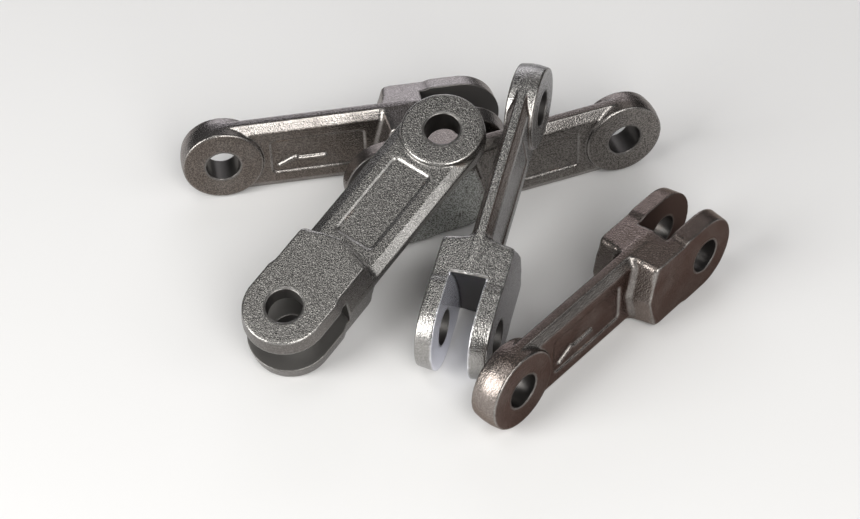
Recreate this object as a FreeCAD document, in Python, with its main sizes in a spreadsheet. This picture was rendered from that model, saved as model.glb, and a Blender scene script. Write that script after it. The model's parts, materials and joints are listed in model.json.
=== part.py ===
"""Five loose links of a forged conveyor chain, lying in a heap.

Each link is one drop forging: a round eye, a bevelled shank with a sunk panel, and a fork with a milled slot.
In a link's own frame the eye is at the origin, X runs to the fork pin, Y is the pin axis and Z the height.
"""
import FreeCAD
import Part
import math
import os
import Sketcher

# Driving sizes in millimetres and degrees
SIZES = {
    # link
    "pitch": 101.6,
    "edge_half_height": 17.35,
    "flash_width": 3.5,
    "draft": 7.5,
    "bore_diameter": 14.2,
    # eye
    "eye_thickness": 11.8,
    "eye_face_radius": 16.75,
    # shank
    "shank_thickness": 8.4,
    "shank_face_height": 26.4,
    "panel_from_eye": 3.35,
    "panel_from_fork": 4.3,
    "panel_from_bevel": 4.4,
    "panel_depth": 0.8,
    "panel_corner": 2.0,
    # fork
    "fork_width": 28.8,
    "slot_width": 14.2,
    "slot_floor": 19.1,
    "cutter_radius": 50.0,
    "step_foot": 14.6,
    "step_length": 2.8,
    "shoulder_apex": 37.4,
    "shoulder_sweep": 4.2,
    "shoulder_round": 1.6,
    "neck_fillet": 3.0,
    # heap
    "rest_gap": 0.45,
    "middle_pin_x": -23.29,
    "middle_pin_y": 33.27,
    "middle_yaw": 199.6,
    "rear_touch": 96.2,
    "rear_yaw": 8.0,
    "leaning_along": 63.0,
    "leaning_short": 9.6,
    "leaning_yaw": 251.6,
    "lying_along": 21.5,
    "lying_across": 3.86,
    "lying_yaw": 230.75,
    "lying_roll": 81.8,
    "front_x": 20.71,
    "front_y": -73.63,
    "front_yaw": 47.1,
}
PLANES = {"side": "XZ_Plane", "section": "YZ_Plane", "plan": "XY_Plane"}
# How near a point must be to count as on a face
NEAR = 0.01

doc = FreeCAD.newDocument("conveyor_chain")
sheet = doc.addObject("Spreadsheet::Sheet", "sizes")
for row, (alias, number) in enumerate(SIZES.items(), start=1):
    sheet.set(f"A{row}", alias)
    sheet.set(f"B{row}", str(number))
    sheet.setAlias(f"B{row}", alias)
doc.recompute()

# Formulas that several features share
EDGE = "sizes.edge_half_height"
BAND = "(sizes.flash_width / 2)"
FORK_HALF = "(sizes.fork_width / 2)"
SLOT_HALF = "(sizes.slot_width / 2)"
EYE_HALF = "(sizes.eye_thickness / 2)"
SHANK_HALF = "(sizes.shank_thickness / 2)"
TINE_RADIUS = f"({EDGE} + {SLOT_HALF} * tan(sizes.draft * 1 deg))"


def value(formula):
    """The plain number that a formula of the sheet gives now."""
    return float(sheet.evalExpression(formula))


def size(alias):
    return value(f"sizes.{alias}")


def body_plane(body, plane):
    return next(f for f in body.Origin.OriginFeatures if f.Role == PLANES[plane])


def sketch_on(body, name, plane, offset=None):
    """An empty sketch on one of the body's planes, or moved off it by a formula."""
    sketch = body.newObject("Sketcher::SketchObject", name)
    sketch.AttachmentSupport = [(body_plane(body, plane), "")]
    sketch.MapMode = "FlatFace"
    if offset:
        sketch.setExpression("AttachmentOffset.Base.z", offset)
    return sketch


def fix_point(sketch, element, point, across=None, up=None):
    """Ties a point's distances from the sketch's origin to formulas of the sheet."""
    for kind, formula in (("DistanceX", across), ("DistanceY", up)):
        if formula:
            index = sketch.addConstraint(Sketcher.Constraint(kind, -1, 1, element, point, value(formula)))
            sketch.setExpression(f"Constraints[{index}]", formula)


def polygon(sketch, corners):
    """Straight lines through the corners, each corner given by two formulas."""
    count = len(corners)
    points = [FreeCAD.Vector(value(across), value(up), 0) for across, up in corners]
    for i in range(count):
        sketch.addGeometry(Part.LineSegment(points[i], points[(i + 1) % count]), False)
    for i, (across, up) in enumerate(corners):
        sketch.addConstraint(Sketcher.Constraint("Coincident", i, 2, (i + 1) % count, 1))
        fix_point(sketch, i, 1, across, up)


def circle(sketch, across, diameter):
    """A circle centred on the sketch's X axis."""
    centre = FreeCAD.Vector(value(across), 0, 0)
    ring = sketch.addGeometry(Part.Circle(centre, FreeCAD.Vector(0, 0, 1), value(diameter) / 2), False)
    sketch.addConstraint(Sketcher.Constraint("PointOnObject", ring, 3, -1))
    fix_point(sketch, ring, 3, across)
    index = sketch.addConstraint(Sketcher.Constraint("Diameter", ring, value(diameter)))
    sketch.setExpression(f"Constraints[{index}]", diameter)


def pad(body, name, sketch, length):
    feature = body.newObject("PartDesign::Pad", name)
    feature.Profile = sketch
    feature.setExpression("Length", length)
    return feature


def cut_across(body, name, sketch, width):
    """A pocket of the given width, centred on the link's middle plane."""
    feature = body.newObject("PartDesign::Pocket", name)
    feature.Profile = sketch
    feature.SideType = "Symmetric"
    feature.setExpression("Length", width)
    return feature


def fillet(body, name, test, radius):
    """Rounds every edge that passes the test."""
    doc.recompute()
    base = body.Tip
    edges = [f"Edge{i}" for i, e in enumerate(base.Shape.Edges, start=1) if test(e)]
    feature = body.newObject("PartDesign::Fillet", name)
    feature.Base = (base, edges)
    feature.setExpression("Radius", radius)
    return feature


def ends(edge):
    return [vertex.Point for vertex in edge.Vertexes]


def add_fork_block(body):
    """The fork as it leaves the die: its side outline, drafted both ways from the parting plane."""
    sketch = sketch_on(body, "fork_outline", "side")
    apex = "sizes.pitch - sizes.shoulder_apex"
    corner = f"{apex} + sizes.shoulder_sweep"
    foot = "sizes.pitch - sizes.step_foot"
    head = f"{foot} + sizes.step_length"
    upper = [(apex, "0"), (corner, EDGE), (foot, EDGE), (head, TINE_RADIUS), ("sizes.pitch", TINE_RADIUS)]
    lower = [(across, f"-({up})") for across, up in reversed(upper)]
    for side in (upper, lower):
        points = [FreeCAD.Vector(value(across), value(up), 0) for across, up in side]
        for start, end in zip(points, points[1:]):
            sketch.addGeometry(Part.LineSegment(start, end), False)
    tip = Part.Circle(FreeCAD.Vector(size("pitch"), 0, 0), FreeCAD.Vector(0, 0, 1), value(TINE_RADIUS))
    round_end = Part.ArcOfCircle(tip, -math.pi / 2, math.pi / 2)
    arc = sketch.addGeometry(round_end, False)
    for first, second in ((0, 1), (1, 2), (2, 3), (4, 5), (5, 6), (6, 7), (7, 0)):
        sketch.addConstraint(Sketcher.Constraint("Coincident", first, 2, second, 1))
    sketch.addConstraint(Sketcher.Constraint("Coincident", 3, 2, arc, 2))
    sketch.addConstraint(Sketcher.Constraint("Coincident", arc, 1, 4, 1))
    for i, (across, up) in enumerate(upper[:4]):
        fix_point(sketch, i, 1, across, up)
    for i, (across, up) in enumerate(lower[:4], start=4):
        fix_point(sketch, i, 1, across, up)
    fix_point(sketch, 3, 2, *upper[4])
    fix_point(sketch, arc, 3, "sizes.pitch")
    half = pad(body, "fork_half", sketch, FORK_HALF)
    doc.recompute()
    walls = [f"Face{i}" for i, face in enumerate(half.Shape.Faces, start=1) if abs(face.normalAt(0, 0).y) < 0.5]
    drafted = body.newObject("PartDesign::Draft", "fork_draft")
    drafted.Base = (half, walls)
    drafted.NeutralPlane = (body_plane(body, "side"), [""])
    drafted.setExpression("Angle", "sizes.draft")
    whole = body.newObject("PartDesign::Mirrored", "fork_block")
    whole.TransformMode = "Whole shape"
    whole.MirrorPlane = (body_plane(body, "side"), [""])
    body.Tip = whole
    doc.recompute()


def add_shank(body):
    """The shank: flat sides, sloping bevels and the narrow band where the flash was trimmed."""
    sketch = sketch_on(body, "shank_section", "section")
    quarter = [(SHANK_HALF, "sizes.shank_face_height / 2"), (BAND, EDGE)]
    upper = quarter + [(f"-{y}", z) for y, z in reversed(quarter)]
    polygon(sketch, upper + [(y, f"-({z})") for y, z in reversed(upper)])
    pad(body, "shank", sketch, "sizes.pitch - sizes.slot_floor - sizes.neck_fillet")


def add_eye(body):
    """The eye: a drafted ring, thicker than the shank, with the flash band round its rim."""
    sketch = sketch_on(body, "eye_profile", "plan")
    face = "sizes.eye_face_radius"
    upper = [(EDGE, BAND), (face, EYE_HALF), ("0", EYE_HALF)]
    lower = [(across, f"-{up}") for across, up in reversed(upper)]
    polygon(sketch, upper + lower)
    eye = body.newObject("PartDesign::Revolution", "eye")
    eye.Profile = sketch
    eye.ReferenceAxis = (sketch, ["V_Axis"])
    eye.Angle = 360


def round_shoulder(body):
    """Fillets where the shank runs into the shoulder, then the shoulder's own rear corners."""
    half = size("shank_thickness") / 2
    apex = size("pitch") - size("shoulder_apex")
    corner = apex + size("shoulder_sweep")

    def is_neck(edge):
        points = ends(edge)
        at_back = all(apex < p.x < corner + half and NEAR < abs(p.y) < half + NEAR for p in points)
        return at_back and abs(points[0].z - points[-1].z) > NEAR

    def is_rear_corner(edge):
        points = ends(edge)
        middle = edge.CenterOfMass
        runs_across = len(points) == 2 and abs(points[0].y - points[-1].y) > half
        outside = abs(middle.z) > size("shank_face_height") / 2 and abs(middle.y) > half
        return runs_across and outside and middle.x < corner + size("neck_fillet")

    fillet(body, "neck_rounds", is_neck, "sizes.neck_fillet")
    fillet(body, "rear_corners", is_rear_corner, "sizes.shoulder_round")


def add_slot(body):
    """The fork's slot, milled with a large disc cutter that leaves a hollow floor."""
    sketch = sketch_on(body, "slot_outline", "side")
    circle(sketch, "sizes.pitch - sizes.slot_floor + sizes.cutter_radius", "2 * sizes.cutter_radius")
    cut_across(body, "slot", sketch, "sizes.slot_width")


def add_bores(body):
    """Pin bores through the eye and through both tines."""
    for name, across in (("eye_bore", "0"), ("fork_bore", "sizes.pitch")):
        sketch = sketch_on(body, f"{name}_circle", "side")
        circle(sketch, across, "sizes.bore_diameter")
        cut_across(body, name, sketch, "2 * sizes.fork_width")


def add_panels(body):
    """The sunk panel on each side of the shank."""
    near = "sizes.eye_face_radius + sizes.panel_from_eye"
    far = "sizes.pitch - sizes.shoulder_apex - sizes.panel_from_fork"
    up = "(sizes.shank_face_height / 2 - sizes.panel_from_bevel)"
    for name, sign in (("right_panel", ""), ("left_panel", "-")):
        sketch = sketch_on(body, f"{name}_outline", "side", offset=f"{sign}{SHANK_HALF}")
        polygon(sketch, [(near, up), (far, up), (far, f"-{up}"), (near, f"-{up}")])
        recess = body.newObject("PartDesign::Pocket", name)
        recess.Profile = sketch
        recess.Reversed = sign == "-"
        recess.setExpression("Length", "sizes.panel_depth")
    outer = size("shank_thickness") / 2
    inner = outer - size("panel_depth")

    def is_corner(edge):
        points = ends(edge)
        in_wall = all(inner - NEAR < abs(p.y) < outer + NEAR for p in points)
        return in_wall and len(points) == 2 and abs(points[0].y - points[-1].y) > size("panel_depth") / 2

    fillet(body, "panel_corners", is_corner, "sizes.panel_corner")


def make_forging():
    """The one forging that every link is a copy of."""
    body = doc.addObject("PartDesign::Body", "forging")
    add_fork_block(body)
    add_shank(body)
    round_shoulder(body)
    add_eye(body)
    add_slot(body)
    add_bores(body)
    add_panels(body)
    doc.recompute()
    return body


def make_link(name):
    """A link of its own in the heap, cloned from the forging."""
    body = doc.addObject("PartDesign::Body", name)
    body.Label = name
    copy = doc.addObject("PartDesign::FeatureBase", f"{name}_form")
    body.Group = [copy]
    copy.BaseFeature = forging
    body.Tip = copy
    return body


def heading(name):
    """The plan directions of a link's X and Y axes, as formulas."""
    yaw = f"(sizes.{name}_yaw * 1 deg)"
    return (f"cos({yaw})", f"sin({yaw})"), (f"(-sin({yaw}))", f"cos({yaw})")


def shifted(start, *moves):
    """A plan point moved by lengths along directions, all of them formulas."""
    return [" + ".join([part] + [f"({length}) * {way[i]}" for length, way in moves]) for i, part in enumerate(start)]


def place(link, base, height, yaw, dip="0", roll="0"):
    turn = f"create(<<rotation>>; ({yaw}) * 1 deg; ({dip}) * 1 deg; ({roll}) * 1 deg)"
    point = f"create(<<vector>>; {base[0]}; {base[1]}; {height})"
    link.setExpression("Placement", f"create(<<placement>>; {point}; {turn})")


# The links in the heap, each with the eye as its reference point
forging = make_forging()
middle = make_link("link_middle")
rear = make_link("link_rear")
leaning = make_link("link_leaning")
lying = make_link("link_lying")
front = make_link("link_front")

# The middle link stands on its narrow edge, and the others are placed from its fork pin
middle_pin = ("sizes.middle_pin_x", "sizes.middle_pin_y")
middle_x, middle_y = heading("middle")
place(middle, shifted(middle_pin, ("-sizes.pitch", middle_x)), EDGE, "sizes.middle_yaw")

# The rear link stands too, with its fork beside the rear corner of the middle link's shoulder
rear_x, rear_y = heading("rear")
back = "sizes.shoulder_sweep - sizes.shoulder_apex"
corner = shifted(middle_pin, (back, middle_x), (f"-{FORK_HALF}", middle_y))
rear_eye = shifted(corner, ("-sizes.rear_touch", rear_x), (f"{FORK_HALF} + sizes.rest_gap", rear_y))
place(rear, rear_eye, EDGE, "sizes.rear_yaw")

# The leaning link has its tines on the floor and its eye's rim on the middle link's top band
leaning_x, leaning_y = heading("leaning")
crossing = "((sizes.leaning_yaw - sizes.middle_yaw) * 1 deg)"
bearing = f"(sizes.leaning_short - {BAND} / sin({crossing}) - {EYE_HALF} / tan({crossing}))"
rise = f"({EDGE} + sizes.rest_gap + sqrt(sizes.eye_face_radius ^ 2 - {bearing} ^ 2))"
leaning_eye = shifted(middle_pin, ("-sizes.leaning_along", middle_x), ("sizes.leaning_short", leaning_x))
place(leaning, leaning_eye, f"{EDGE} + {rise}", "sizes.leaning_yaw", f"asin({rise} / sizes.pitch) / 1 deg")

# The lying link is on its side, with a tine on the floor and its eye on the middle link's near tine
tine_face = f"({EDGE} - ({FORK_HALF} - {SLOT_HALF}) * tan(sizes.draft * 1 deg))"
side_on = "sin(sizes.lying_roll * 1 deg)"
overhang = f"(({FORK_HALF} - {EYE_HALF}) * {side_on})"
reach = f"sqrt(sizes.pitch ^ 2 + {overhang} ^ 2)"
dip = f"(asin(({EDGE} + {tine_face} + sizes.rest_gap) / {reach}) - atan({overhang} / sizes.pitch))"
upright = f"(cos{dip} * {side_on})"
lying_height = f"sizes.pitch * sin{dip} + {FORK_HALF} * {upright} + {tine_face} * sqrt(1 - {upright} ^ 2)"
lying_eye = shifted(middle_pin, ("-sizes.lying_along", middle_x), ("sizes.lying_across", middle_y))
place(lying, lying_eye, lying_height, "sizes.lying_yaw", f"{dip} / 1 deg", "sizes.lying_roll")

# The front link stands by itself
place(front, ("sizes.front_x", "sizes.front_y"), EDGE, "sizes.front_yaw")
doc.recompute()

links = [middle, rear, leaning, lying, front]
for item in doc.Objects:
    if "Invalid" in item.State or "Error" in item.State:
        raise RuntimeError(f"{item.Label} failed: {item.State}")
for link in links:
    if link.Shape.isNull() or not link.Shape.isValid() or len(link.Shape.Solids) != 1:
        raise RuntimeError(f"{link.Label} has no valid solid")

os.makedirs("parts", exist_ok=True)
for link in links:
    link.Shape.exportStep(f"parts/{link.Label}.step")
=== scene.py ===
"""Five loose forged links of a conveyor chain in a heap on a pale floor. Sizes are in metres."""

import json
import math

import bpy
import numpy as np
from mathutils import Matrix, Vector


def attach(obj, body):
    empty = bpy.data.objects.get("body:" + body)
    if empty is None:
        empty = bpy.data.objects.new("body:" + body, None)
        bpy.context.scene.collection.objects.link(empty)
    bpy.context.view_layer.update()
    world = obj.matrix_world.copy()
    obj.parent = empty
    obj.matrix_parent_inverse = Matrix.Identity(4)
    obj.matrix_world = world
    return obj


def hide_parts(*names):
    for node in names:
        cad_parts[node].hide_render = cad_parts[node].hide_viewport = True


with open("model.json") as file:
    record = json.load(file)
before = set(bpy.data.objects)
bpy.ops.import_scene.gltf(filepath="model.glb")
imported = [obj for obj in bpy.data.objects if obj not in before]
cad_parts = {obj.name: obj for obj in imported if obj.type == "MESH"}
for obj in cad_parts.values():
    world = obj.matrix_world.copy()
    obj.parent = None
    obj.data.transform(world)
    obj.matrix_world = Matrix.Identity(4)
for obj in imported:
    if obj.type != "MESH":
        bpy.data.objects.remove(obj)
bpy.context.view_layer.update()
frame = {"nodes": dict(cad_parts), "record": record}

# Floor under the heap: one plain pale sheet, much larger than the heap, that takes its soft shadows.
# It is painted matt, and it lies a hair below the links so that no face shares its plane.
FLOOR_WIDTH = 6.0
FLOOR_DROP = 0.0002
FLOOR_TONE = 0.84
FLOOR_ROUGHNESS = 0.9
bpy.ops.object.select_all(action="DESELECT")
bpy.ops.mesh.primitive_plane_add(size=FLOOR_WIDTH, location=(0.0, 0.0, -FLOOR_DROP))
floor = bpy.context.object
floor.name = "floor"
floor_paint = bpy.data.materials.new("pale_floor")
floor_paint.use_nodes = True
paint = floor_paint.node_tree.nodes["Principled BSDF"]
paint.inputs["Base Color"].default_value = (FLOOR_TONE, FLOOR_TONE, FLOOR_TONE, 1.0)
paint.inputs["Roughness"].default_value = FLOOR_ROUGHNESS
floor.data.materials.append(floor_paint)

# Camera: looks down on the heap from the front at a little under half a right angle, with a long lens.
# The values come from the rims and bores of all five links as they lie in the picture.
IMAGE_WIDTH = 860
FOCAL_PIXELS = 2233
LOOK_DOWN = math.radians(44.658)
ROLL = math.radians(-1.917)
DISTANCE = 0.91115
TARGET = Vector((-0.00549, 0.01077, 0.0))
SHIFT_PIXELS = (7.9, 1.6)
camera_data = bpy.data.cameras.new("camera")
camera_data.lens = camera_data.sensor_width * FOCAL_PIXELS / IMAGE_WIDTH
camera_data.shift_x = -SHIFT_PIXELS[0] / IMAGE_WIDTH
camera_data.shift_y = SHIFT_PIXELS[1] / IMAGE_WIDTH
camera = bpy.data.objects.new("camera", camera_data)
bpy.context.scene.collection.objects.link(camera)
back_off = Vector((0.0, -math.cos(LOOK_DOWN), math.sin(LOOK_DOWN)))
turn = Matrix.Rotation(math.pi / 2 - LOOK_DOWN, 4, "X") @ Matrix.Rotation(ROLL, 4, "Z")
camera.matrix_world = Matrix.Translation(TARGET + DISTANCE * back_off) @ turn
bpy.context.scene.camera = camera

# Light: a soft box on the left and a tall strip in front do most of the work. Dim sheets stand to the
# right, overhead and behind, with a cool panel low at the back. All are aimed at the heap, and each gives
# its sheen to the faces that turn towards it.
AMBIENT = 0.055


def add_lamp(name, place, size, power, tint):
    """A soft oval lamp of a width and a height, aimed at the middle of the heap."""
    lamp = bpy.data.lights.new(name, "AREA")
    lamp.shape = "ELLIPSE"
    lamp.size, lamp.size_y = size
    lamp.energy = power
    lamp.color = tint
    holder = bpy.data.objects.new(name, lamp)
    bpy.context.scene.collection.objects.link(holder)
    holder.location = place
    holder.rotation_euler = (-Vector(place)).to_track_quat("-Z", "Y").to_euler()


add_lamp("left_box", place=(-1.00, -0.54, 0.60), size=(0.78, 1.10), power=14.0, tint=(1.0, 0.99, 0.97))
add_lamp("front_strip", place=(0.33, -1.01, 0.74), size=(0.65, 1.40), power=12.3, tint=(1.0, 0.985, 0.96))
add_lamp("right_sheet", place=(0.84, -0.45, 0.89), size=(0.90, 0.90), power=2.6, tint=(1.0, 0.99, 0.98))
add_lamp("overhead_sheet", place=(-0.40, -0.04, 1.44), size=(0.62, 0.62), power=2.3, tint=(1.0, 0.99, 0.97))
add_lamp("rear_panel", place=(-0.05, 1.18, 0.52), size=(1.10, 0.54), power=2.85, tint=(0.96, 0.95, 1.0))
add_lamp("rear_sheet", place=(0.40, 0.78, 1.03), size=(0.70, 0.70), power=0.65, tint=(1.0, 0.96, 0.93))
studio = bpy.data.worlds.new("studio")
studio.use_nodes = True
studio.node_tree.nodes["Background"].inputs["Color"].default_value = (1.0, 1.0, 1.0, 1.0)
studio.node_tree.nodes["Background"].inputs["Strength"].default_value = AMBIENT
bpy.context.scene.world = studio
bpy.context.scene.view_settings.view_transform = "Standard"

# Rear link: one drop forging of steel, shot-blasted and then browned by a thin oxide. Blasting softens its
# corners and leaves its bores and its slot crisp. It stands on its narrow edge at the upper left.
mounts = {mount["name"]: mount for mount in frame["record"]["mounts"]}


def link_axes(name):
    """A link's eye centre, its length and its three axes, from its two bores."""
    eye = np.array(mounts[f"{name}_eye_bore"]["pos_m"])
    fork = np.array(mounts[f"{name}_fork_bore"]["pos_m"])
    length = np.linalg.norm(fork - eye)
    along = (fork - eye) / length
    across = np.array(mounts[f"{name}_eye_bore"]["axis"])
    return eye, length, np.stack([along, across, np.cross(along, across)])


def bore_radius(name):
    return mounts[f"{name}_eye_bore"]["dims"]["r_mm"] / 1000


def per_point(mesh, field):
    """A mesh's point places or normals, one row for each point."""
    values = np.empty(len(mesh.vertices) * 3)
    mesh.vertices.foreach_get(field, values)
    return values.reshape(-1, 3)


def ramp(values, start, reach):
    """Nothing up to the start, then rising to all over the reach."""
    return np.clip((values - start) / reach, 0, 1)


# Half the slot's width, how far its floor lies behind the fork's bore, and the cutter that left it hollow.
SLOT_HALF = 0.0071
SLOT_FLOOR = 0.0191
CUTTER_RADIUS = 0.050


def machined_faces(mesh, name, length, margin):
    """Which points, in the link's own frame, lie in a bore, on the slot's walls and on the slot's floor."""
    along, across, up = per_point(mesh, "co").T
    bore = bore_radius(name) + margin
    in_bore = (np.hypot(along, up) < bore) | (np.hypot(along - length, up) < bore)
    from_cutter = np.hypot(along - (length - SLOT_FLOOR + CUTTER_RADIUS), up)
    in_slot = (from_cutter < CUTTER_RADIUS + margin) & (np.abs(across) < SLOT_HALF + margin / 2)
    on_floor = in_slot & (from_cutter > CUTTER_RADIUS - margin)
    return in_bore, in_slot & ~on_floor & ~in_bore, on_floor & ~in_bore


# The arrow's two strokes, each from its start to its end, along the link and up from its middle line.
ARROW_STROKES = (((0.0435, -0.0026), (0.0310, -0.0026)), ((0.0312, -0.0014), (0.0230, -0.0054)))
ARROW_WIDTH = 0.0017
ARROW_DEPTH = 0.0020
ARROW_STAND = 0.0036


def arrow_bars(axes, in_view):
    """The raised direction arrow in a link's panel, as two bevelled bars in the link's own frame."""
    facing_front = -1.0 if axes[1][1] > 0 else 1.0
    side = facing_front if in_view else -facing_front
    up = 1.0 if axes[2][2] > 0 else -1.0
    bars = []
    for start, end in ARROW_STROKES:
        run = Vector((end[0] - start[0], 0.0, up * (end[1] - start[1])))
        middle = Vector(((start[0] + end[0]) / 2, side * ARROW_STAND, up * (start[1] + end[1]) / 2))
        bpy.ops.object.select_all(action="DESELECT")
        bpy.ops.mesh.primitive_cube_add(size=1.0, scale=(run.length, ARROW_DEPTH, ARROW_WIDTH))
        bar = bpy.context.object
        bpy.ops.object.transform_apply(location=False, rotation=False, scale=True)
        bpy.ops.object.mode_set(mode="EDIT")
        bpy.ops.mesh.select_all(action="SELECT")
        bpy.ops.mesh.bevel(offset=ARROW_WIDTH / 4, segments=2)
        bpy.ops.object.mode_set(mode="OBJECT")
        tilt = Matrix.Rotation(math.atan2(-run.z, run.x), 4, "Y")
        bar.matrix_world = Matrix.Translation(middle) @ tilt
        bpy.ops.object.transform_apply()
        bars.append(bar)
    return bars


LEAST_SHARE = 0.05


def soften(skin, label, shares, rounds):
    """Smooths a skin for some rounds, each point by its own share."""
    group = skin.vertex_groups.new(name=label)
    for point in np.flatnonzero(shares > LEAST_SHARE).tolist():
        group.add([point], shares[point], "REPLACE")
    smooth = skin.modifiers.new(label, "SMOOTH")
    smooth.factor = 0.5
    smooth.iterations = rounds
    smooth.vertex_group = group.name
    bpy.ops.object.modifier_apply(modifier=smooth.name)


BLAST_ROUNDS = 9
CRISPNESS = 0.3
MOUTH_MARGIN = 0.0012
SHOULDER_BEHIND = 0.0345
SHOULDER_REACH = 0.0035
SHOULDER_ROUNDS = 120
BESIDE_SHANK = (0.0065, 0.002)
OFF_MIDDLE = (0.008, 0.004)


def round_corners(skin, name, length):
    """Softens every corner, the machined ones least and the fork's rear edges, rounded by the die, most."""
    machined = np.any(machined_faces(skin.data, name, length, MOUTH_MARGIN), axis=0)
    soften(skin, "blasted", np.where(machined, CRISPNESS, 1.0), BLAST_ROUNDS)
    along, across, up = per_point(skin.data, "co").T
    shares = np.exp(-((along - length + SHOULDER_BEHIND) / SHOULDER_REACH) ** 2)
    shares *= ramp(np.abs(across), *BESIDE_SHANK) * ramp(np.abs(up), *OFF_MIDDLE)
    soften(skin, "shoulder", shares, SHOULDER_ROUNDS)


TRUE_WITHIN = 0.0006
TRUE_FIRMNESS = 1.6


def true_up(mesh, name, length):
    """Brings the bores, the slot's walls and the slot's floor back to their machined sizes."""
    points = per_point(mesh, "co")
    bore = bore_radius(name)
    cutter = length - SLOT_FLOOR + CUTTER_RADIUS
    off = np.abs(points[:, 1]) - SLOT_HALF
    in_slot = np.hypot(points[:, 0] - cutter, points[:, 2]) < CUTTER_RADIUS
    share = in_slot * np.clip(TRUE_FIRMNESS * (1 - np.abs(off) / TRUE_WITHIN), 0, 1)
    points[:, 1] -= np.sign(points[:, 1]) * off * share
    round_cuts = ((cutter, CUTTER_RADIUS, SLOT_HALF), (0.0, bore, math.inf), (length, bore, math.inf))
    for centre, radius, half_width in round_cuts:
        reach = np.hypot(points[:, 0] - centre, points[:, 2])
        share = np.clip(TRUE_FIRMNESS * (1 - np.abs(reach - radius) / TRUE_WITHIN), 0, 1)
        share *= (np.abs(points[:, 1]) < half_width) & (points[:, 0] < centre + bore + TRUE_WITHIN)
        pull = 1 + share * (radius / reach - 1)
        points[:, 0] = centre + (points[:, 0] - centre) * pull
        points[:, 2] *= pull
    mesh.vertices.foreach_set("co", points.ravel())
    mesh.update()


SKIN_STEP = 0.00043
BEND_ROUNDS = 3
WEAR_AND_SHEEN_GAIN = 4.0
CORNER_SHADE_GAIN = 6.0
BORE_MARGIN = 0.0005
# Where a ramp starts and how far it reaches: the first four go by how squarely a face turns one way, and
# the last by how far along the link it lies.
FLAT = (0.85, 0.13)
RIM = (0.93, 0.05)
BEVEL = (0.45, 0.1)
PAST_BEVEL = (0.85, 0.05)
ON_FORK = (0.065, 0.004)


def mark_surface(mesh, name, length, film_on):
    """Stores where edges take wear and a painted highlight, inner corners take painted shade, faces were
    machined and each tone has its faces.
    """
    points = per_point(mesh, "co")
    normals = per_point(mesh, "normal")
    pairs = np.empty(len(mesh.edges) * 2, dtype=np.int64)
    mesh.edges.foreach_get("vertices", pairs)
    pairs = pairs.reshape(-1, 2)
    degree = np.bincount(pairs.ravel(), minlength=len(points))

    def neighbour_mean(field):
        total = np.zeros_like(field)
        np.add.at(total, pairs[:, 0], field[pairs[:, 1]])
        np.add.at(total, pairs[:, 1], field[pairs[:, 0]])
        return total / (degree[:, None] if field.ndim > 1 else degree)

    bend = np.einsum("ij,ij->i", points - neighbour_mean(points), normals) / SKIN_STEP
    for _ in range(BEND_ROUNDS):
        bend = (bend + neighbour_mean(bend)) / 2
    machined = machined_faces(mesh, name, length, BORE_MARGIN)
    bored, walls, slot_floor = (neighbour_mean(part.astype(float)) for part in machined)
    raw = 1 - np.clip(bored + walls + slot_floor, 0, 1)
    sideways = np.abs(normals[:, 1])
    flats = ramp(np.abs(normals[:, 1:]), *FLAT)
    bevels = ramp(sideways, *BEVEL) * (1 - ramp(sideways, *PAST_BEVEL))
    on_fork = ramp(points[:, 0], *ON_FORK)
    fields = {
        "wear_and_sheen": np.clip(bend * WEAR_AND_SHEEN_GAIN, 0, 1),
        "corner_shade_and_rust": np.clip(-bend * CORNER_SHADE_GAIN, 0, 1),
        "bored": np.maximum(bored, slot_floor),
        "milled": walls,
        "flat": flats @ np.array(film_on) * raw,
        "rim": ramp(np.hypot(normals[:, 0], normals[:, 2]), *RIM) * raw,
        "fork_sides": flats[:, 0] * on_fork * raw,
        "bevels": bevels * (1 - on_fork) * raw,
    }
    for field, values in fields.items():
        store = mesh.attributes.new(field, "FLOAT", "POINT")
        store.data.foreach_set("value", values.astype(np.float32))


def skin_over(name, arrow_in_view, film_on):
    """A closed, softly rounded skin over a link's solid, made in the link's own frame and put back."""
    node = frame["nodes"][f"link_{name}"]
    skin = bpy.data.objects.new(f"{name}_forging", node.data.copy())
    bpy.context.scene.collection.objects.link(skin)
    skin.data.materials.clear()
    eye, length, axes = link_axes(name)
    to_link = Matrix(axes.tolist()).to_4x4() @ Matrix.Translation(-Vector(eye))
    skin.data.transform(to_link)
    bpy.ops.object.select_all(action="DESELECT")
    skin.select_set(True)
    bpy.context.view_layer.objects.active = skin
    bpy.ops.object.mode_set(mode="EDIT")
    bpy.ops.mesh.select_all(action="SELECT")
    bpy.ops.mesh.remove_doubles(threshold=1e-6)
    bpy.ops.object.mode_set(mode="OBJECT")
    for bar in arrow_bars(axes, arrow_in_view):
        bar.select_set(True)
    skin.select_set(True)
    bpy.context.view_layer.objects.active = skin
    bpy.ops.object.join()
    remesh = skin.modifiers.new("one_skin", "REMESH")
    remesh.mode = "VOXEL"
    remesh.voxel_size = SKIN_STEP
    bpy.ops.object.modifier_apply(modifier=remesh.name)
    round_corners(skin, name, length)
    true_up(skin.data, name, length)
    bpy.ops.object.shade_smooth()
    mark_surface(skin.data, name, length, film_on)
    skin.data.transform(to_link.inverted())
    return skin


COLOUR = "NodeSocketColor"
NUMBER = "NodeSocketFloat"


def new_group(name, inputs, outputs):
    """An empty node group, with the sockets that its nodes read from and write to."""
    group = bpy.data.node_groups.new(name, "ShaderNodeTree")
    for side, sockets in (("INPUT", inputs), ("OUTPUT", outputs)):
        for label, kind in sockets.items():
            group.interface.new_socket(label, in_out=side, socket_type=kind)
    entry = group.nodes.new("NodeGroupInput")
    leave = group.nodes.new("NodeGroupOutput")
    return group, entry.outputs, leave.inputs


def feed(tree, socket, value):
    """Links a socket to another, or sets it to a colour or a number."""
    if isinstance(value, bpy.types.NodeSocket):
        tree.links.new(value, socket)
    elif isinstance(value, tuple):
        socket.default_value = (*value, 1.0)
    else:
        socket.default_value = value


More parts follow.
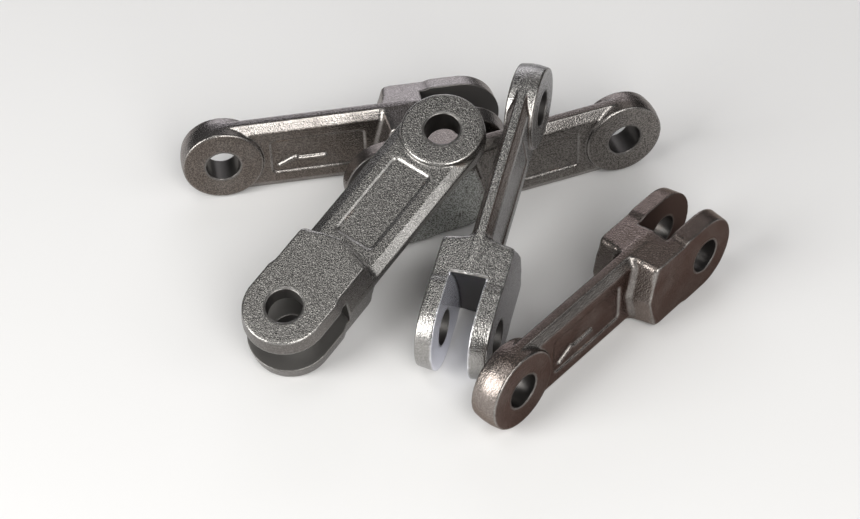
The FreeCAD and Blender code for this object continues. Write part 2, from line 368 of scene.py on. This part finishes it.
def place_group(tree, group, values):
    """Puts a group into a node tree with its own values, and gives its outputs."""
    node = tree.nodes.new("ShaderNodeGroup")
    node.node_tree = group
    for label, value in values.items():
        feed(tree, node.inputs[label], value)
    return node.outputs


def mark(tree, field):
    """One of the fields that mark_surface stored, read from the mesh."""
    node = tree.nodes.new("ShaderNodeAttribute")
    node.attribute_name = field
    return node.outputs["Fac"]


def blend(tree, amount, first, second):
    """A colour between two others."""
    mix = tree.nodes.new("ShaderNodeMix")
    mix.data_type = "RGBA"
    for label, value in (("Factor", amount), ("A", first), ("B", second)):
        feed(tree, mix.inputs[label], value)
    return mix.outputs["Result"]


def between(tree, amount, low, high):
    """A number that goes from low to high with the amount."""
    scale = tree.nodes.new("ShaderNodeMapRange")
    for label, value in (("Value", amount), ("To Min", low), ("To Max", high)):
        feed(tree, scale.inputs[label], value)
    return scale.outputs["Result"]


def combine(tree, operation, first, second):
    """Two numbers made into one by a Math node."""
    node = tree.nodes.new("ShaderNodeMath")
    node.operation = operation
    feed(tree, node.inputs[0], first)
    feed(tree, node.inputs[1], second)
    return node.outputs["Value"]


PATCHES_PER_METRE = 90.0
PATCH_SPREAD = (0.35, 0.65)
PEAK_SPREAD = (0.36, 0.64)


def blasted_skin_group():
    """Pits and peaks of a shot-blasted forging: a height, and slow patches of tone."""
    group, given, made = new_group(
        "blasted_skin", {"Grain per metre": NUMBER}, {"Height": NUMBER, "Peaks": NUMBER, "Patches": NUMBER})
    place = group.nodes.new("ShaderNodeTexCoord").outputs["Object"]

    def noise(scale, detail, roughness):
        texture = group.nodes.new("ShaderNodeTexNoise")
        group.links.new(place, texture.inputs["Vector"])
        for label, value in (("Scale", scale), ("Detail", detail), ("Roughness", roughness)):
            feed(group, texture.inputs[label], value)
        return texture.outputs["Fac"]

    def stretched(value, spread):
        stretch = group.nodes.new("ShaderNodeMapRange")
        for label, limit in zip(("Value", "From Min", "From Max"), (value, *spread)):
            feed(group, stretch.inputs[label], limit)
        return stretch.outputs["Result"]

    pits = noise(given["Grain per metre"], detail=1.0, roughness=0.55)
    patches = noise(PATCHES_PER_METRE, detail=5.0, roughness=0.5)
    group.links.new(pits, made["Height"])
    group.links.new(stretched(pits, PEAK_SPREAD), made["Peaks"])
    group.links.new(stretched(patches, PATCH_SPREAD), made["Patches"])
    return group


# Dark pits and bright peaks in the grain: partly dark oxide in the valleys, partly a painted shade and
# highlight of the relief.
PIT_OXIDE_AND_SHADE = 0.28
PIT_OXIDE_AND_SHADE_TONE = (0.02, 0.018, 0.017)
PEAK_SHINE = (-0.2, 0.10)


def forged_tone_group():
    """Bare forged steel: dark and light patches, another tone on rims, which on the lying and middle links
    is a painted shade, and dark pits and bright peaks, partly the grain's own tone and partly a painted
    shade and highlight of its relief.
    """
    group, given, made = new_group(
        "forged_tone", {"Dark": COLOUR, "Light": COLOUR, "Rim": COLOUR, "Bright": COLOUR,
                        "Peaks": NUMBER, "Patches": NUMBER}, {"Colour": COLOUR})
    tone = blend(group, given["Patches"], given["Dark"], given["Light"])
    tone = blend(group, mark(group, "rim"), tone, given["Rim"])
    tone = blend(group, between(group, given["Peaks"], PIT_OXIDE_AND_SHADE, 0.0), tone, PIT_OXIDE_AND_SHADE_TONE)
    tone = blend(group, between(group, given["Peaks"], *PEAK_SHINE), tone, given["Bright"])
    group.links.new(tone, made["Colour"])
    return group


THIN_FILM = 0.85


def oxide_and_shade_film_group():
    """The oxide film that blasting left on the flats, which on the front link is partly a painted shade:
    thinner on pale patches, with its own darker tone in the pits, partly a painted shade too.
    """
    group, given, made = new_group(
        "oxide_and_shade_film", {"Under": COLOUR, "Film": COLOUR, "Pits": COLOUR, "Peaks": NUMBER, "Patches": NUMBER},
        {"Colour": COLOUR})
    thickness = between(group, given["Patches"], 1.0, THIN_FILM)
    cover = combine(group, "MULTIPLY", mark(group, "flat"), thickness)
    filled = combine(group, "MAXIMUM", given["Peaks"], mark(group, "wear_and_sheen"))
    film = blend(group, filled, given["Pits"], given["Film"])
    group.links.new(blend(group, cover, given["Under"], film), made["Colour"])
    return group


def patina_and_painted_light_group():
    """A tone laid on some faces, partly a real patina and partly a painted light, with one strength in the
    pits and another on the peaks.
    """
    group, given, made = new_group(
        "patina_and_painted_light", {"Under": COLOUR, "Tone": COLOUR, "Where": NUMBER, "Peaks": NUMBER, "In pits": NUMBER,
                   "On peaks": NUMBER}, {"Colour": COLOUR})
    strength = between(group, given["Peaks"], given["In pits"], given["On peaks"])
    cover = combine(group, "MULTIPLY", given["Where"], strength)
    group.links.new(blend(group, cover, given["Under"], given["Tone"]), made["Colour"])
    return group


EDGE_WEAR_AND_SHEEN = (-0.1, 0.4)


def edge_wear_and_sheen_group():
    """Edges made bright, partly by wear and partly as a painted highlight."""
    group, given, made = new_group("edge_wear_and_sheen", {"Under": COLOUR, "Bright": COLOUR}, {"Colour": COLOUR})
    wear = between(group, mark(group, "wear_and_sheen"), *EDGE_WEAR_AND_SHEEN)
    group.links.new(blend(group, wear, given["Under"], given["Bright"]), made["Colour"])
    return group


# The bores and the slot's floor are painted dark: a painted shade.
PAINTED_BORE_SHADE = (0.115, 0.11, 0.106)
FORGED_METAL = 0.95
MILLED_METAL = 0.78
FORGED_ROUGHNESS = 0.27
BORED_ROUGHNESS = 0.38


def machined_finish_group():
    """Bored and milled faces: a painted shade in the bores and on the slot's floor, the milled walls' tone,
    how rough and how bare they are, and where they lie.
    """
    group, given, made = new_group(
        "machined_finish", {"Under": COLOUR, "Milled": COLOUR, "Gloss": NUMBER},
        {"Colour": COLOUR, "Roughness": NUMBER, "Metallic": NUMBER, "Machined": NUMBER})
    bored = mark(group, "bored")
    milled = mark(group, "milled")
    tone = blend(group, bored, given["Under"], PAINTED_BORE_SHADE)
    group.links.new(blend(group, milled, tone, given["Milled"]), made["Colour"])
    rough = between(group, bored, FORGED_ROUGHNESS, BORED_ROUGHNESS)
    polish = between(group, milled, 0.0, given["Gloss"])
    group.links.new(combine(group, "SUBTRACT", rough, polish), made["Roughness"])
    group.links.new(between(group, milled, FORGED_METAL, MILLED_METAL), made["Metallic"])
    group.links.new(combine(group, "MAXIMUM", bored, milled), made["Machined"])
    return group


PAINTED_CORNER_SHADE_SHARE = 0.75
PAINTED_CORNER_SHADE_TONE = (0.03, 0.027, 0.025)
RUST_SHARE = (-8.0, 0.7)
RUST_TONE = (0.30, 0.13, 0.04)


def painted_corner_shade_and_rust_group():
    """Painted shade in the inner corners, with a little rust there on the palest patches."""
    group, given, made = new_group("painted_corner_shade_and_rust", {"Under": COLOUR, "Patches": NUMBER}, {"Colour": COLOUR})
    corner_shade_and_rust = mark(group, "corner_shade_and_rust")
    tone = blend(group, between(group, corner_shade_and_rust, 0.0, PAINTED_CORNER_SHADE_SHARE), given["Under"], PAINTED_CORNER_SHADE_TONE)
    rust = combine(group, "MULTIPLY", corner_shade_and_rust, between(group, given["Patches"], *RUST_SHARE))
    group.links.new(blend(group, rust, tone, RUST_TONE), made["Colour"])
    return group


RUBBED_GRAIN = 0.15
BARE_GRAIN = 0.5
MACHINED_GRAIN = 0.06


def grain_relief_group():
    """The skin's height: full where the film lies, half elsewhere, low at edges, least where machined."""
    group, given, made = new_group(
        "grain_relief", {"Height": NUMBER, "Machined": NUMBER}, {"Height": NUMBER})
    shaped = combine(group, "MAXIMUM", mark(group, "wear_and_sheen"), mark(group, "corner_shade_and_rust"))
    height = combine(group, "MULTIPLY", given["Height"], between(group, shaped, 1.0, RUBBED_GRAIN))
    height = combine(group, "MULTIPLY", height, between(group, mark(group, "flat"), BARE_GRAIN, 1.0))
    height = combine(group, "MULTIPLY", height, between(group, given["Machined"], 1.0, MACHINED_GRAIN))
    group.links.new(height, made["Height"])
    return group


blasted_skin = blasted_skin_group()
forged_tone = forged_tone_group()
oxide_and_shade_film = oxide_and_shade_film_group()
patina_and_painted_light = patina_and_painted_light_group()
edge_wear_and_sheen = edge_wear_and_sheen_group()
machined_finish = machined_finish_group()
painted_corner_shade_and_rust = painted_corner_shade_and_rust_group()
grain_relief = grain_relief_group()
GRAIN_PER_METRE = 1750.0
GRAIN_DEPTH = 0.00023


def forged_steel(name, dark, light, rim, film, pits, wear_and_sheen, milled, gloss, glance, patinas_and_painted_light=()):
    """Blasted steel: a grainy skin, an oxide film on the flats, edges bright from wear and a painted
    highlight, and smooth machined faces, with painted shade in the bores, the pits and the inner corners.

    pits is the share of the film's tone left in the pits, gloss how much smoother the milled faces are than
    the forged ones, and glance the tint of light at a low angle. Each entry, patina and painted light alike,
    gives a field, a tone and its strength in the pits and on the peaks.
    """
    steel = bpy.data.materials.new(name)
    steel.use_nodes = True
    tree = steel.node_tree
    shader = tree.nodes["Principled BSDF"]
    skin = place_group(tree, blasted_skin, {"Grain per metre": GRAIN_PER_METRE})
    peaks = skin["Peaks"]
    patches = skin["Patches"]
    tone = place_group(tree, forged_tone, {
        "Dark": dark, "Light": light, "Rim": rim, "Bright": wear_and_sheen,
        "Peaks": peaks, "Patches": patches})["Colour"]
    pit_film = tuple(pits * part for part in film)
    tone = place_group(tree, oxide_and_shade_film, {
        "Under": tone, "Film": film, "Pits": pit_film, "Peaks": peaks, "Patches": patches})["Colour"]
    for field, own_tone, in_pits, on_peaks in patinas_and_painted_light:
        tone = place_group(tree, patina_and_painted_light, {
            "Under": tone, "Tone": own_tone, "Where": mark(tree, field), "Peaks": peaks,
            "In pits": in_pits, "On peaks": on_peaks})["Colour"]
    tone = place_group(tree, edge_wear_and_sheen, {"Under": tone, "Bright": wear_and_sheen})["Colour"]
    finish = place_group(tree, machined_finish, {"Under": tone, "Milled": milled, "Gloss": gloss})
    tone = place_group(tree, painted_corner_shade_and_rust, {"Under": finish["Colour"], "Patches": patches})["Colour"]
    relief = place_group(tree, grain_relief, {"Height": skin["Height"], "Machined": finish["Machined"]})
    bump = tree.nodes.new("ShaderNodeBump")
    bump.inputs["Strength"].default_value = 1.0
    bump.inputs["Distance"].default_value = GRAIN_DEPTH
    tree.links.new(relief["Height"], bump.inputs["Height"])
    tree.links.new(tone, shader.inputs["Base Color"])
    tree.links.new(finish["Metallic"], shader.inputs["Metallic"])
    tree.links.new(finish["Roughness"], shader.inputs["Roughness"])
    tree.links.new(bump.outputs["Normal"], shader.inputs["Normal"])
    shader.inputs["Specular Tint"].default_value = (*glance, 1.0)
    return steel


def dress_link(name, steel, arrow_in_view, film_on):
    """Puts a skin in place of a link's solid. film_on is the film's share on the sides and narrow edges."""
    skin = skin_over(name, arrow_in_view, film_on)
    skin.data.materials.append(steel)
    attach(skin, name)
    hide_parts(f"link_{name}")


# Its milled slot walls are painted dark grey, a painted shade.
rear_steel = forged_steel(
    "rear_steel", dark=(0.265, 0.248, 0.235), light=(0.410, 0.388, 0.371), rim=(0.285, 0.266, 0.262),
    film=(0.205, 0.174, 0.154), pits=0.4, wear_and_sheen=(0.62, 0.60, 0.58), milled=(0.20, 0.19, 0.185),
    gloss=-0.1, glance=(0.8, 0.77, 0.75))
dress_link("rear", rear_steel, arrow_in_view=True, film_on=(1.0, 0.0))

# Middle link: the same forging in plain grey steel, with a pale speckled bloom on its fork, painted paler
# still as painted light on the fork's shaded sides.
# It stands on its narrow edge behind and under two others, with its eye at the right.
# Its milled slot walls are painted dark grey and its narrow edges darker than its sides, both painted shade.
middle_steel = forged_steel(
    "middle_steel", dark=(0.225, 0.212, 0.202), light=(0.355, 0.338, 0.325), rim=(0.215, 0.190, 0.178),
    film=(0.265, 0.245, 0.229), pits=0.32, wear_and_sheen=(0.60, 0.59, 0.58), milled=(0.20, 0.19, 0.185),
    gloss=-0.1, glance=(0.8, 0.78, 0.77), patinas_and_painted_light=[("fork_sides", (0.53, 0.555, 0.535), 0.1, 0.95)])
dress_link("middle", middle_steel, arrow_in_view=False, film_on=(1.0, 0.0))

# Lying link: the same forging in plain grey steel, blasted clean.
# It lies on its side with one tine on the floor and its eye on the middle link.
# Its milled slot walls are painted dark grey and its narrow edges darker than its sides, both painted shade.
lying_steel = forged_steel(
    "lying_steel", dark=(0.290, 0.283, 0.272), light=(0.460, 0.450, 0.434), rim=(0.185, 0.172, 0.162),
    film=(0.405, 0.394, 0.377), pits=0.5, wear_and_sheen=(0.68, 0.67, 0.65), milled=(0.15, 0.145, 0.138),
    gloss=-0.2, glance=(0.9, 0.9, 0.9))
dress_link("lying", lying_steel, arrow_in_view=False, film_on=(1.0, 0.0))

# Leaning link: the same forging in plain grey steel, with brown left on its bevels and a bright milled slot.
# Its tines stand on the floor, and its eye leans on the middle link's top edge.
# Its fork's sides are painted pale, a painted reflection.
leaning_steel = forged_steel(
    "leaning_steel", dark=(0.300, 0.293, 0.284), light=(0.485, 0.476, 0.462), rim=(0.400, 0.391, 0.378),
    film=(0.440, 0.430, 0.416), pits=0.5, wear_and_sheen=(0.72, 0.71, 0.70), milled=(0.92, 0.93, 1.0),
    gloss=0.06, glance=(0.9, 0.9, 0.92),
    patinas_and_painted_light=[("bevels", (0.180, 0.143, 0.125), 1.0, 0.8), ("fork_sides", (0.60, 0.585, 0.595), 0.15, 0.9)])
dress_link("leaning", leaning_steel, arrow_in_view=False, film_on=(1.0, 1.0))

# Front link: the same forging in steel under a brown oxide, which lies thinner on its narrow edges. The
# oxide's darkness on its flat sides and narrow edges is partly a painted shade, and its bright edges are
# partly a painted highlight.
# It stands alone on its narrow edge at the right.
front_steel = forged_steel(
    "front_steel", dark=(0.220, 0.202, 0.190), light=(0.360, 0.338, 0.321), rim=(0.300, 0.262, 0.240),
    film=(0.126, 0.089, 0.080), pits=0.55, wear_and_sheen=(0.80, 0.78, 0.76), milled=(0.056, 0.036, 0.031),
    gloss=-0.05, glance=(0.5, 0.44, 0.41))
dress_link("front", front_steel, arrow_in_view=True, film_on=(1.0, 0.62))
